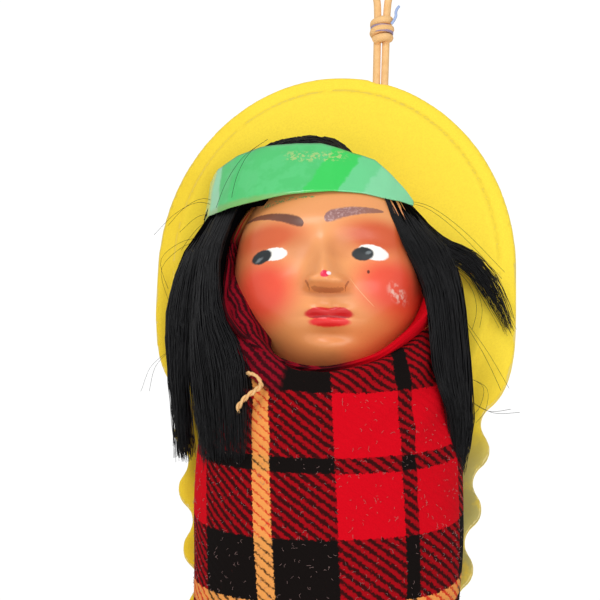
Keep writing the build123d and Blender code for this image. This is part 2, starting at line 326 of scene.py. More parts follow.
def on_roll(turn, depth, lift=0.0):
    """A point on the roll, at a turn in degrees from its front, lifted by some mm."""
    width, thick, middle = roll_section(depth)
    angle = math.radians(turn)
    y = middle - (thick + lift) * math.cos(angle)
    return at((width + lift) * math.sin(angle), min(y, BOARD_FACE - 0.05), depth)


def widest_turn(depth):
    """The turn at which the roll meets the board."""
    thick, middle = roll_section(depth)[1:]
    return math.degrees(math.acos(max(-1.0, min(1.0, (middle - BOARD_FACE) / thick))))


def along_roll(turn):
    """Millimetres of cloth from the roll's front to a turn, at the shoulders."""
    steps = 24
    width, thick = roll_section(80)[:2]
    total = 0.0
    for index in range(steps):
        angle = math.radians(turn) * (index + 0.5) / steps
        total += math.hypot(width * math.cos(angle), thick * math.sin(angle)) * math.radians(turn) / steps
    return total


# %% [markdown]
# ## Blanket
# The flannel is a sheet wrapped round the roll. Its upper edge dips under the chin and turns in, and it
# climbs the sides of the face. It is formed in code and not simulated: a rolled upper edge, one fold
# along the upper left, slanting drag lines and soft dents. At the foot the plaid simply draws together.

# %% Blanket sheet
EDGE_ROLL = 1.6
TUCK = 5.0
CLOTH = 0.9
WRAP_TURN = 104
FOOT = 130.2
FOOT_CURVE = 129.6
UPPER_EDGE = ((-104, 42), (-80, 44), (-62, 49.5), (-42, 58.6), (-28, 63.6), (-14.5, 67.4), (3, 67.6),
              (25, 65.2),
              (45, 60.5), (58, 56.5), (80, 50), (104, 47))


def table(value, rows):
    """The second number of the rows at a value of the first, in straight lines between rows."""
    if value <= rows[0][0]:
        return rows[0][1]
    for (low, first), (high, second) in zip(rows, rows[1:]):
        if value <= high:
            return first + (second - first) * (value - low) / (high - low)
    return rows[-1][1]


def upper_edge(turn):
    """Depth of the blanket's upper edge below the board's top, at a turn."""
    return sum(table(turn + k * 2.5, UPPER_EDGE) for k in (-2, -1, 0, 1, 2)) / 5


def fold_lift(turn, depth):
    """Uneven lift of the cloth: a fold along the upper left, drag lines and soft dents."""
    edge = depth - upper_edge(turn)
    drag = 0.55 * math.sin((turn * 0.42 + depth) * 0.62) * ease(30 - edge, 0, 26)
    left = 0.9 * math.exp(-((edge - 3.0) / 2.2) ** 2) * ease(-turn, -5, 15)
    dents = 0.7 * noise.noise(Vector((turn * 0.035, depth * 0.045, 3.1)))
    return drag * 0.6 + left + dents


def blanket_form(u, v):
    """The blanket's surface, from the foot at v 0 to the tucked upper edge at v 1."""
    share = min(v / 0.9, 1.0)
    probe = 2 * u - 1
    edge = upper_edge(probe * WRAP_TURN)
    depth = FOOT - (FOOT - edge) * share
    turn = probe * widest_turn(min(depth, FOOT_CURVE))
    lift = fold_lift(turn, depth) * ease(depth, 28, 60) * ease(130 - depth, 0, 8)
    if v > 0.9:
        past = (v - 0.9) / 0.1
        bend = min(past / 0.5, 1.0) * math.radians(125)
        tuck = max(0.0, past - 0.5) / 0.5 * TUCK
        lift += EDGE_ROLL * (math.cos(bend) - 1) - tuck * math.sin(math.radians(125)) * 0.9
        depth -= EDGE_ROLL * math.sin(bend) * 0.8 - tuck * 0.35
    return on_roll(turn, depth, lift)


def blanket_cloth(u, v):
    """The plaid's place in mm, across from the front and down from the board's top, a little askew."""
    probe = 2 * u - 1
    depth = FOOT - (FOOT - upper_edge(probe * WRAP_TURN)) * v / 0.9
    turn = probe * widest_turn(min(depth, FOOT_CURVE))
    return along_roll(turn) - 0.075 * (depth - 89), depth - 1.0 + 0.00125 * turn ** 2


def blanket_collar(u, v):
    """1 on the folded collar at the upper left, where a dark part of the plaid shows, and 0 elsewhere."""
    return ease(v, 0.815, 0.835) * ease((1 - 2 * u) * WRAP_TURN, 17, 21)


blanket = grid_over("blanket", 150, 190, blanket_form, blanket_cloth, blanket_collar)
apply_modifier(blanket, "SOLIDIFY", thickness=CLOTH * MM, offset=-1)
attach(blanket, "cradle")
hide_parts("blanket_wrap", "body_stuffing")

# %% [markdown]
# ## Hood
# A second width of the same flannel goes round the head, under the hair, and turns in at the face. It is
# a ring: each section rolls over at the face's edge and runs back to the board.

# %% Hood sheet
FACE_X = -0.7
FACE_MIDDLE = 43.0
HOOD_SECTION = ((-0.9, 3.5), (-0.4, 0.9), (0.3, -0.3), (1.2, -0.2), (2.0, 0.4), (2.6, 1.8), (2.9, 5.0),
                (3.0, 11.0))


def hood_form(u, v):
    """The hood, with u round the face from the upper left, by the chin, to the upper right."""
    turn = math.radians(-160 + 320 * u)
    place = v * (len(HOOD_SECTION) - 1)
    index = min(int(place), len(HOOD_SECTION) - 2)
    mix = ease(place - index, 0, 1) * 0.5 + (place - index) * 0.5
    out = HOOD_SECTION[index][0] * (1 - mix) + HOOD_SECTION[index + 1][0] * mix
    back = HOOD_SECTION[index][1] * (1 - mix) + HOOD_SECTION[index + 1][1] * mix
    wobble = 0.5 * noise.noise(Vector((turn * 2.2, v * 1.5, 8.0)))
    tight = 1 - (0.05 if turn < 0 else 0.16) * ease(-math.cos(turn), 0.1, 0.9)
    if out > 0:
        out *= 0.5 + 0.5 * ease(math.cos(turn), -0.1, 0.5)
    x = FACE_X + (18.5 + out + wobble) * tight * math.sin(turn)
    depth = FACE_MIDDLE + (20.4 + out + wobble) * tight * math.cos(turn)
    ramp = 0.6 + 8.6 * ease(math.cos(turn), 0.0, 0.85)
    front = -13.8 - 2.6 * math.cos(turn) - ramp * ease(out, -0.2, 2.2)
    return at(x, min(front + back, BOARD_FACE - 0.1), depth)


HOOD_ROUTE = ((0.0, 45.0), (0.17, 43.4), (0.21, 36.0), (0.36, 38.0), (0.42, 32.0), (0.5, 26.0),
              (1.0, 19.5))


def hood_cloth(u, v):
    """The hood's plaid runs along the ring: yellow at the temple, dark at the cheek, red on the right."""
    return table(u, HOOD_ROUTE), 70 + 9 * v


def hood_collar(u, v):
    """1 where the ring's cloth is dark, from the left cheek to the middle of the chin."""
    turn = -160 + 320 * u
    return ease(turn, -128, -100) * (1 - ease(turn, 6, 24))


hood = grid_over("hood", 160, 36, hood_form, hood_cloth, hood_collar)
pick(hood)
bpy.ops.object.mode_set(mode="EDIT")
bpy.ops.mesh.select_all(action="SELECT")
bpy.ops.mesh.flip_normals()
bpy.ops.object.mode_set(mode="OBJECT")
apply_modifier(hood, "SOLIDIFY", thickness=CLOTH * MM, offset=-1)
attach(hood, "cradle")
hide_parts("blanket_hood", "head_stuffing")

# %% [markdown]
# ## Face
# The face is a thin moulded shell with a painted skin. It starts as a ball, and each feature is a soft
# swelling or hollow that moves its points forward or back: brow, sockets, eyes, nose, lips and chin.

# %% Moulded face
FACE_WIDE = 18.2
FACE_HIGH = 21.6
FACE_DEEP = 18.0
FACE_BACK = -7.0


def swell(x, depth, at_x, at_depth, wide, high, turn=0.0):
    """A soft round hill, 1 at its middle and 0 far away."""
    c, s = math.cos(math.radians(turn)), math.sin(math.radians(turn))
    dx, dv = x - at_x, depth - at_depth
    a = (c * dx + s * dv) / wide
    b = (c * dv - s * dx) / high
    return math.exp(-(a * a + b * b))


def face_relief(x, depth):
    """How far the moulded face stands forward of a plain egg, in mm."""
    relief = 0.7 * swell(x, depth, -1.0, 37.2, 13, 3.0)
    for eye_x, eye_depth in ((-11.0, 43.2), (7.4, 43.1)):
        relief -= 1.1 * swell(x, depth, eye_x, eye_depth, 5.2, 3.2)
        relief += 0.75 * swell(x, depth, eye_x, eye_depth, 3.4, 1.8)
    middle = -1.0 + 0.07 * (depth - 41)
    ridge = ease(depth, 37.5, 49.2) ** 1.4
    under = 1 - ease(depth, 50.0, 51.2)
    width = 1.6 + 1.2 * ease(depth, 42, 50)
    relief += 4.4 * ridge * under * math.exp(-((x - middle) / width) ** 2)
    for side in (-1, 1):
        relief += 1.9 * swell(x, depth, -0.2 + side * 2.7, 49.6, 1.25, 1.1) * (1 - ease(depth, 50.2, 51.2))
    relief -= 0.35 * swell(x, depth, 0.2, 52.8, 0.8, 1.0)
    relief += 0.65 * swell(x, depth, -1.8, 54.2, 2.2, 0.85, 8)
    relief += 0.65 * swell(x, depth, 2.2, 54.1, 2.2, 0.85, -8)
    relief += 0.8 * swell(x, depth, 0.4, 56.1, 2.9, 0.95)
    relief -= 0.35 * swell(x, depth, 0.3, 55.05, 4.2, 0.3)
    relief -= 0.8 * swell(x, depth, 0.4, 58.0, 4.2, 1.1)
    relief += 1.5 * swell(x, depth, 0.8, 61.0, 5.5, 2.6)
    relief += 1.0 * swell(x, depth, -11.0, 50.4, 5.5, 6.0) + 1.0 * swell(x, depth, 10.8, 49.6, 5.5, 6.0)
    return relief


bpy.ops.object.select_all(action="DESELECT")
bpy.ops.mesh.primitive_uv_sphere_add(segments=288, ring_count=200, radius=1)
face = bpy.context.object
face.name = "face"
pick(face)
bpy.ops.object.mode_set(mode="EDIT")
bpy.ops.mesh.select_all(action="SELECT")
bpy.ops.mesh.bisect(plane_co=(0, 0.0, 0), plane_no=(0, 1, 0), clear_outer=True, use_fill=False)
bpy.ops.object.mode_set(mode="OBJECT")
for vertex in face.data.vertices:
    nx, ny, nz = vertex.co
    x, depth = FACE_X + FACE_WIDE * nx, FACE_MIDDLE - FACE_HIGH * nz
    bulge = (1 - (1 - ny * ny) ** 1.15) ** (1 / 2.3)
    jaw = 1 - 0.07 * ease(depth, 52, 63)
    y = FACE_BACK - FACE_DEEP * bulge - face_relief(x, depth) * ease(-ny, 0.05, 0.4)
    vertex.co = at(x * jaw, y, depth)
smooth_shading(face)
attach(face, "cradle")
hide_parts("face_mask")
print("face", len(face.data.polygons), "faces")

# %% [markdown]
# ## Headband
# The headband is a strip of glossy green tape stuck round the head. A flat strip creases on a round
# form, so its surface is drawn part of the way towards a row of flat facets.

# %% Headband strip
BAND_X = -2.6
BAND_Y = -4.5
BAND_TOP = ((-90, 23.6), (-62, 22.6), (-55, 22.0), (-32, 20.1), (0, 20.2), (18, 22.3), (31, 23.4),
            (46, 27.2), (58, 30.2))
BAND_BOTTOM = ((-90, 31.6), (-54, 33.0), (-30, 32.8), (-15, 32.1), (7, 31.4), (24, 31.3), (37, 31.6),
               (58, 31.1))
BAND_FACETS = (-90, -66, -48, -30, -12, 8, 24, 38, 50, 62)
FACET_SHARE = 0.45


def band_form(u, v):
    """The band, with u round the head from its left end and v from its lower to its upper edge."""
    turn = -88 + 146 * u
    low, high = table(turn, BAND_BOTTOM), table(turn, BAND_TOP)
    depth = low + (high - low) * v
    rise = max(0.0, (depth - 19.5) / 12.5)
    wide, deep = 20.5 + 2.1 * rise ** 0.5, 12.9 + 6.4 * rise ** 0.75
    wide *= 0.89 if turn > 0 else 1.0
    corners = [k for k in BAND_FACETS if k <= turn][-1:] + [k for k in BAND_FACETS if k > turn][:1]
    share = (turn - corners[0]) / (corners[1] - corners[0])
    angles = [math.radians(k) for k in (*corners, turn)]
    first, last, full = [Vector((BAND_X + wide * math.sin(k), BAND_Y - deep * math.cos(k))) for k in angles]
    angle = angles[-1]
    spot = full.lerp(first.lerp(last, share), FACET_SHARE)
    ripple = 0.14 * noise.noise(Vector((turn * 0.12, v * 2.2, 1.0)))
    return at(spot.x + (ripple + 0.4) * math.sin(angle), spot.y - 0.5 - ripple, depth)


band = grid_over("band", 150, 22, band_form, lambda u, v: (u, v))
apply_modifier(band, "SOLIDIFY", thickness=0.22 * MM, offset=-1)
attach(band, "cradle")
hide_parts("headband")

# %% [markdown]
# ## Hair
# The hair is dark artificial fibre: a cap glued over the head, a loose lock at each temple and a stray
# tuft. The strands of a lock are thin tapered tubes laid in lines between an inner and an outer edge.
# Each strand has few faces, because there are many.

# %% Hair strands
random.seed(7)
noise.seed_set(7)


def between(line, share):
    """A place along a list of control places, smoothly."""
    place = min(max(share, 0.0), 1.0) * (len(line) - 1)
    index = min(int(place), len(line) - 2)
    t = place - index
    p = [Vector(line[min(max(index + k, 0), len(line) - 1)]) for k in (-1, 0, 1, 2)]
    return 0.5 * (2 * p[1] + (p[2] - p[0]) * t + (2 * p[0] - 5 * p[1] + 4 * p[2] - p[3]) * t * t
                  + (3 * p[1] - p[0] - 3 * p[2] + p[3]) * t * t * t)


def strand_lines(count, inner, outer, thick, ends, steps=11, stray=0.5, root=0.0, bow=1.0):
    """Lines of strands between two edge lines, given as (x, y, depth), in layers back towards the board."""
    lines = []
    for number in range(count):
        across = random.random()
        layer = random.random() ** 1.6
        end = 1 - ends * random.random() ** 1.7
        start = root * random.random()
        drift = random.gauss(0, 0.035)
        phase = random.uniform(0, 50)
        sway = Vector((random.gauss(0, stray), random.gauss(0, stray * 0.5), random.gauss(0, stray)))
        line = []
        for step in range(steps + 1):
            t = start + (end - start) * step / steps
            side = min(1.04, max(-0.04, across + drift * t))
            place = between(inner, t).lerp(between(outer, t), side)
            round_out = math.sqrt(max(0.0, 1 - (2 * side - 1) ** 2))
            place.y -= bow * round_out * ease(t, 0, 0.4)
            place.y += layer * thick
            wave = noise.noise_vector(Vector((phase, t * 3, 0))) * stray * ease(t, 0, 0.5)
            wave += noise.noise_vector(Vector((phase, t * 9, 5))) * 0.32
            place += wave + sway * t * t
            place.y = min(place.y, BOARD_FACE - 0.1)
            line.append(at(*place))
        lines.append(line)
    return lines


def taper_end(share):
    """Strand radius along its length: full, then thin at the tip."""
    return 1.0 - 0.65 * ease(share, 0.6, 1.0)


STRAND = 0.09 * MM
LEFT_EDGES = (
    ((-16.8, -17.2, 29.5), (-20.1, -18.4, 39.0), (-20.7, -18.4, 46.5), (-19.0, -20.4, 54.5),
     (-15.2, -24.6, 62.2),
     (-13.6, -26.0, 71.0), (-12.8, -26.8, 82.5)),
    ((-20.3, -14.2, 29.0), (-25.0, -13.0, 39.0), (-26.2, -12.5, 47.0), (-26.4, -12.6, 55.0),
     (-25.8, -14.0, 63.0),
     (-24.0, -17.0, 71.5), (-22.0, -19.0, 81.5)),
    ((-20.3, -14.2, 29.0), (-25.0, -13.0, 39.0), (-26.4, -12.0, 47.0), (-26.9, -11.5, 55.0),
     (-26.9, -11.0, 62.5),
     (-26.3, -10.5, 70.0), (-25.4, -10.0, 78.0)),
    ((-21.6, -8.6, 29.0), (-28.6, -8.0, 38.2), (-31.2, -7.5, 46.5), (-31.5, -7.5, 54.0), (-30.6, -7.5, 61.5),
     (-29.4, -7.5, 69.0), (-28.4, -7.3, 77.5)),
)
RIGHT_EDGES = (
    ((9.2, -20.1, 30.6), (12.9, -21.4, 40.2), (16.9, -19.0, 47.7), (18.3, -20.6, 56.0), (19.6, -20.8, 65.5),
     (21.8, -17.9, 71.0), (22.9, -12.5, 79.5)),
    ((12.6, -12.6, 29.5), (20.9, -13.0, 38.6), (23.7, -11.5, 46.6), (24.9, -9.5, 56.5), (25.5, -8.5, 65.0),
     (25.5, -8.5, 72.5), (23.6, -9.0, 80.5)),
)
left_lines = strand_lines(850, LEFT_EDGES[0], LEFT_EDGES[1], 8.0, 0.12, stray=0.45)
left_lines += strand_lines(420, LEFT_EDGES[2], LEFT_EDGES[3], 5.0, 0.14, stray=0.45)
left_hair = tubes("left_lock", left_lines, STRAND, taper=taper_end)
right_lines = strand_lines(760, *RIGHT_EDGES, 6.0, 0.14, stray=0.4)
right_hair = tubes("right_lock", right_lines, STRAND, taper=taper_end)

# %% [markdown]
# ### Stray tuft and crown
# The tuft leaves the right temple and spreads to ragged ends, and single stray hairs lie over the board.
# The crown's strands are swept from the middle of the top to each side and run on under the band.

# %% Tuft and crown
LEFT_BEND = ((-20.0, -12.0, 33.5), (-22.0, -12.0, 50.0))
RIGHT_BEND = ((15.0, -14.0, 33.5), (18.0, -14.0, 50.0))
BENDS = {
    "left_lock": LEFT_BEND,
    "left_core": LEFT_BEND,
    "right_lock": RIGHT_BEND,
    "right_core": RIGHT_BEND,
    "tuft": ((16.0, -10.0, 33.0), (28.0, -7.0, 44.0)),
}


def hang(piece, body):
    """Ride a body, or, for a piece listed in BENDS, stay in place with its transform applied."""
    if piece.name in BENDS:
        start, end = BENDS[piece.name]
        at(*start)
        at(*end)
        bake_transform(piece)
    else:
        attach(piece, body)


TUFT_INNER = ((13.0, -14.0, 31.0), (20.0, -10.0, 38.8), (25.0, -7.6, 42.0), (28.2, -6.5, 46.6),
              (32.0, -5.0, 52.6))
TUFT_OUTER = ((13.5, -13.0, 30.0), (19.6, -9.8, 35.0), (25.6, -7.8, 37.6), (30.0, -6.4, 43.0),
              (33.4, -5.0, 51.5))
tuft_lines = strand_lines(150, TUFT_INNER, TUFT_OUTER, 1.6, 0.4, stray=0.7, bow=0.4)
tuft = tubes("tuft", tuft_lines, STRAND * 0.9, taper=taper_end)
STRAYS = (
    ((-13.0, -17.0, 19.0), (-17.0, -16.5, 22.0), (-19.5, -17.5, 27.0), (-21.0, -17.5, 32.0)),
    ((-21.0, -13.0, 31.0), (-25.0, -11.0, 28.5), (-29.0, -9.0, 29.5), (-32.5, -8.0, 33.0)),
    ((-21.5, -12.0, 32.0), (-26.0, -9.0, 31.5), (-29.5, -8.0, 34.5)),
    ((-25.0, -10.0, 36.0), (-30.0, -7.0, 36.5), (-34.0, -5.5, 40.0), (-32.5, -5.5, 46.0)),
    ((-31.0, -8.0, 58.0), (-33.5, -6.0, 60.5), (-34.5, -5.0, 65.0)),
    ((12.0, -16.0, 30.5), (17.0, -13.0, 30.8), (23.0, -9.0, 34.5), (30.0, -6.0, 41.5)),
    ((19.0, -11.0, 39.0), (25.0, -7.5, 43.5), (27.0, -6.0, 48.0), (26.5, -5.0, 52.0)),
    ((23.5, -8.0, 50.0), (28.0, -6.0, 56.0), (31.5, -5.0, 62.0)),
    ((24.5, -8.0, 62.0), (28.0, -6.0, 63.5), (27.5, -5.5, 67.5), (25.5, -6.0, 70.0)),
    ((24.5, -8.0, 66.0), (29.0, -5.5, 68.0), (33.5, -4.5, 67.5)),
)
stray_lines = []
for run in STRAYS:
    for number in range(2):
        shift = noise.noise_vector(Vector((number * 3.1, run[0][0], 2.0))) * 4.5
        stray_lines.append([at(*(between(run, t / 14) + shift * (t / 14 + 0.15))) for t in range(15)])
CROWN_X = -5.0
CROWN_RUN = ((15.9, 0.12), (17.8, 0.54), (21.2, 0.77), (26.4, 0.92), (32.5, 1.0))


def on_crown(turn, place, lift=0.0):
    """A point on the crown at a turn, with place 0 at the board and 1 at the band's lower edge."""
    share = place * (len(CROWN_RUN) - 1)
    index = min(int(share), len(CROWN_RUN) - 2)
    depth, reach = Vector(CROWN_RUN[index]).lerp(Vector(CROWN_RUN[index + 1]), share - index)
    angle = math.radians(turn)
    behind = ease(turn, 40, 66)
    depth += 5.5 * behind * place
    wide = 19.8 if turn < 0 else 17.2 + 5.4 * behind * ease(depth, 22, 30)
    x = CROWN_X + (wide * reach + lift) * math.sin(angle)
    depth += 3.2 * ease(x, -2, 9) * (1 - ease(place, 0.3, 0.9)) + 0.014 * (x + 5) ** 2 * (1 - place)
    y = BAND_Y - (16.3 * reach + lift) * math.cos(angle)
    return Vector((x, min(y, BOARD_FACE - 0.1), depth - lift))


crown_lines = []
for number in range(1500):
    side = random.choice((-1, 1))
    start_turn, end_turn = random.uniform(-14, 30) * side, random.uniform(48, 99) * side
    start = random.random() ** 1.3 * 0.62
    lift = 0.8 * random.random() ** 2
    kink = random.uniform(0, 99)
    line = []
    for step in range(11):
        t = step / 10
        wave = noise.noise_vector(Vector((kink, t * 4, 0))) * 0.4
        turn, place = start_turn + (end_turn - start_turn) * t ** 0.8, start + (1 - start) * t ** 1.5
        line.append(at(*(on_crown(turn, place, lift) + wave)))
    crown_lines.append(line)
crown_hair = tubes("crown_hair", crown_lines, STRAND * 0.9)
stray_hair = tubes("stray_hair", stray_lines, STRAND * 0.45)
for piece, body, nodes in (
    (left_hair, "hair_left", ("hair_left",)),
    (right_hair, "hair_right", ("hair_right",)),
    (tuft, "hair_right", ("hair_right_tuft",)),
    (crown_hair, "cradle", ("hair_crown",)),
    (stray_hair, "cradle", ("hair_crown",)),
):
    hang(piece, body)
    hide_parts(*nodes)
    print(piece.name, len(piece.data.polygons), "faces")

# %% [markdown]
# ### Under the hair
# A few thick soft cords lie inside each lock, and a smooth dark cap inside the crown, so that no gap
# between strands shows what is behind.

# %% Hair forms
def core_lines(count, inner, outer, back):
    """Lines for thick cords inside a lock, set back from its front."""
    lines = []
    for number in range(count):
        side = (number + 0.9) / (count + 0.8)
        line = [between(inner, t / 12).lerp(between(outer, t / 12), side) for t in range(12)]
        lines.append([at(p.x, min(p.y + back, BOARD_FACE - 1.0), p.z) for p in line])
    return lines


left_core = tubes("left_core", core_lines(7, *LEFT_EDGES[:2], 1.9) + core_lines(3, *LEFT_EDGES[2:], 1.6),
                  1.25 * MM, sides=2, taper=lambda t: 1.0 - 0.6 * ease(t, 0.75, 1.0))
right_core = tubes("right_core", core_lines(5, *RIGHT_EDGES, 1.9), 1.35 * MM, sides=2,
                   taper=lambda t: 1.0 - 0.7 * ease(t, 0.6, 1.0))
crown_form = grid_over("crown_form", 60, 30, lambda u, v: at(*on_crown(198 * u - 99, 0.97 - 0.97 * v, -0.7)))
for piece, body in ((left_core, "hair_left"), (right_core, "hair_right"), (crown_form, "cradle")):
    hang(piece, body)
hair_forms = [left_core, right_core, crown_form]

# %% [markdown]
# ## Pin stitch
# One stitch of two-ply twine pins the blanket's corner. Two strands wound round each other look like the
# real yarn, and their ends go under the cloth.

# %% Stitch
STITCH_RUN = ((-14.9, 74.2, -0.6), (-14.0, 73.0, 1.5), (-12.6, 71.4, 1.9), (-11.2, 70.2, 1.6),
              (-10.5, 69.0, 0.9),
              (-10.8, 67.6, 1.7), (-12.0, 66.8, 1.7), (-13.4, 66.4, 0.2))


def twine(phase, turns=5.0, radius=0.26):
    """One ply of the stitch, wound about its run, given as (x, depth, lift)."""
    line = []
    for step in range(65):
        t = step / 64
        x, depth, lift = between(STITCH_RUN, t)
        turn = math.degrees(math.asin(x / roll_section(depth)[0]))
        angle = phase + turns * 2 * math.pi * t
        line.append(on_roll(turn + radius * 1.8 * math.cos(angle), depth + radius * 0.7 * math.cos(angle),
                            lift + 0.5 + radius * math.sin(angle)))
    return line


stitch = tubes("stitch", [twine(0), twine(math.pi)], 0.27 * MM, sides=2)
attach(stitch, "cradle")
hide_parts("blanket_stitch")

# %% [markdown]
# ## Lint
# Brushed flannel sheds short pale fibres that stand up from the cloth. They're scattered over the front
# of the blanket as very thin curved threads, each with three short straight parts.

# %% Lint fibres
lint_lines = []
for number in range(1100):
    turn, depth = random.uniform(-88, 88), random.uniform(70, 126)
    heading, reach = random.uniform(0, 2 * math.pi), random.uniform(0.2, 0.75)
    curl = random.uniform(-1.5, 1.5)
    line = []
    for step in range(4):
        t = step / 3
        angle = heading + curl * t
        rise = fold_lift(turn, depth) * ease(depth, 28, 60) + 0.03 + 0.2 * math.sin(t * math.pi)
        across, down = reach * t * math.cos(angle) * 2.4, reach * t * math.sin(angle)
        line.append(on_roll(turn + across, depth + down, rise))
    lint_lines.append(line)
lint_fibres = tubes("lint", lint_lines, 0.022 * MM)
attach(lint_fibres, "cradle")

# %% [markdown]
# ## Shader helpers
# Every finish is computed from the object's own coordinates in millimetres, or from the cloth's UV map.
# `Socket` lets shader numbers be written as ordinary sums, and `Finish` makes any other node.

# %% Shader maths
class Socket:
    """A shader value that can be added, subtracted, multiplied, divided and raised with Math nodes."""

    def __init__(self, finish, output):
        self.finish = finish
        self.output = output

    def math(self, operation, *values):
        return self.finish.node("ShaderNodeMath", {"operation": operation}, *values)

    def __add__(self, other):
        return self.math("ADD", self, other)

    def __sub__(self, other):
        return self.math("SUBTRACT", self, other)

    def __mul__(self, other):
        return self.math("MULTIPLY", self, other)

    def __truediv__(self, other):
        return self.math("DIVIDE", self, other)

    def __pow__(self, other):
        return self.math("POWER", self, other)

    def __rsub__(self, other):
        return self.math("SUBTRACT", other, self)

    __radd__ = __add__

    def call(self, operation, *others):
        """Any other Math operation, such as FRACT, SINE or MAXIMUM."""
        return self.math(operation, self, *others)


def linear(text):
    """A colour written as six hex digits, as linear red, green and blue, with alpha 1."""
    parts = [int(text[k:k + 2], 16) / 255 for k in (0, 2, 4)]
    return tuple(c / 12.92 if c <= 0.04045 else ((c + 0.055) / 1.055) ** 2.4 for c in parts) + (1.0,)


class Finish:
    """A material with one Principled shader."""

    def __init__(self, name, **constants):
        self.material = bpy.data.materials.new(name)
        self.material.use_nodes = True
        self.tree = self.material.node_tree
        self.shader = self.tree.nodes["Principled BSDF"]
        self.set(**constants)

    def feed(self, socket, value):
        """Link a Socket into a socket, or set a number or a colour."""
        if isinstance(value, Socket):
            self.tree.links.new(value.output, socket)
        elif isinstance(value, str):
            socket.default_value = linear(value)
        else:
            socket.default_value = value

    def node(self, kind, settings=None, *values, out=0, **named):
        """A new node: its settings first, then its inputs in order or by name; returns one output."""
        made = self.tree.nodes.new(kind)
        for key, value in (settings or {}).items():
            setattr(made, key, value)
        for socket, value in zip(made.inputs, values):
            self.feed(socket, value)
        for key, value in named.items():
            self.feed(made.inputs[key.replace("_", " ")], value)
        return Socket(self, made.outputs[out])

    def set(self, **inputs):
        """Feed the Principled shader's sockets; Base_Color stands for Base Color."""
        for key, value in inputs.items():
            self.feed(self.shader.inputs[key.replace("_", " ")], value)
        return self

    def place(self):
        """x from the doll's middle, y, and depth below the board's top, in mm, and the three as one vector."""
        vector = self.node("ShaderNodeTexCoord", None, out="Object")
        scaled = self.node("ShaderNodeVectorMath", {"operation": "MULTIPLY_ADD"}, vector, (1000, 1000, -1000),
                           (-DOLL_X / MM, 0, TOP / MM))
        parts = [self.node("ShaderNodeSeparateXYZ", None, scaled, out=k) for k in range(3)]
        return (*parts, scaled)

    def noise(self, vector, size, detail=3, rough=0.55, out=0):
        """Noise from 0 to 1 with blobs of about this size in mm."""
        return self.node("ShaderNodeTexNoise", None, out=out, Vector=vector, Scale=1 / size, Detail=detail,
                         Roughness=rough)

    def step(self, value, low, high):
        """0 below low, 1 above high, smooth between."""
        return self.node("ShaderNodeMapRange", {"interpolation_type": "SMOOTHSTEP"}, value, low, high, 0.0,
                         1.0)

    def mix(self, share, first, second):
        """Two colours mixed."""
        made = self.tree.nodes.new("ShaderNodeMix")
        made.data_type = "RGBA"
        self.feed(made.inputs[0], share)
        self.feed(made.inputs[6], first)
        self.feed(made.inputs[7], second)
        return Socket(self, made.outputs[2])

    def bump(self, height, strength, distance):
        """Feed the Normal socket from a height in mm."""
        normal = self.node("ShaderNodeBump", None, out="Normal", Height=height, Strength=strength,
                           Distance=distance * MM)
        return self.set(Normal=normal)

    def give(self, *pieces):
        """Put this finish alone on each piece."""
        for piece in pieces:
            piece.data.materials.clear()
            piece.data.materials.append(self.material)


# %% [markdown]
# ## Board finish
# Soft yellow leather with a napped surface: even and bright at the top, and a little deeper low down.
# Painted shade darkens it towards the left, beside the lock, and a grey-green area on the right is painted
# shade with a smudge in it. A painted highlight lies along the rolled edge. The edge is found from the
# mesh's own normals.

# %% Yellow leather
def edge_attribute(piece):
    """Store how far each vertex faces sideways, for the painted highlight on the rolled edge."""
    values = [1 - abs(vertex.normal.y) for vertex in piece.data.vertices]
    piece.data.attributes.new("side", "FLOAT", "POINT").data.foreach_set("value", values)


for piece in (front_panel, back_panel):
    edge_attribute(piece)
leather = Finish("yellow_leather", Roughness=0.86)
x, y, depth, place = leather.place()
cloud = leather.noise(place, 9, detail=4)
colour = leather.mix(leather.step(depth + cloud * 60, 60, 150), "ffe23c", "efc61f")
# Painted shade: the leather darkens towards the left edge, beside the left lock.
colour = leather.mix(leather.step(0 - x + cloud * 20, 24, 46) * 0.6, colour, "e9c31c")
# Painted shade with a smudge in it: a grey-green area on the right, below the shoulders.
shade_and_smudge = leather.step(leather.noise(place, 5, detail=5), 0.36, 0.6) * leather.step(x, 18, 23)
shade_and_smudge = shade_and_smudge * leather.step(depth, 66, 80) * (1 - leather.step(depth, 100, 116))
colour = leather.mix(shade_and_smudge * 0.75, colour, "989a6c")
# Painted highlight: the rolled edge is paler where its surface faces sideways.
rim_highlight = leather.step(leather.node("ShaderNodeAttribute", {"attribute_name": "side"}, out="Fac"), 0.35, 0.8)
colour = leather.mix(rim_highlight * 0.7, colour, "ffeb9c")
nap = leather.noise(place, 0.28, detail=3)
leather.set(Base_Color=leather.mix(leather.step(nap, 0.3, 0.75) * 0.16, colour, "c99a1a"))
leather.bump(nap + leather.noise(place, 2.5) * 1.2, 0.35, 0.1)
leather.give(front_panel, back_panel)

# %% [markdown]
# ## Plaid
# The plaid is woven 2/2 twill. Warp and weft have the same stripes, and a diagonal mask chooses which of
# the two shows, so crossings of red and black make the fine slanting ribs of real flannel. The stripe
# places are given in mm from the front of the bundle and below the board's top.

# %% Plaid flannel
SETT = (("ef9f52", 0.0), ("120d0c", 3.4), ("cf0418", 15.2), ("120d0c", 27.55), ("cf0418", 30.55),
        ("120d0c", 42.9))
SETT_LENGTH = 54.7
WARP_START = -12.3
WEFT_START = 107.3
WEFT_SHARE = 0.955
TWILL_ACROSS = 2.4
TWILL_DOWN = 1.85


def stripes(finish, place_mm):
    """The sett's colour at a place in mm, repeating."""
    turn = (place_mm / SETT_LENGTH).call("FRACT") * SETT_LENGTH
    colour = SETT[0][0]
    for text, start in SETT[1:]:
        colour = finish.mix(finish.step(turn, start - 0.12, start + 0.12), colour, text)
    return colour


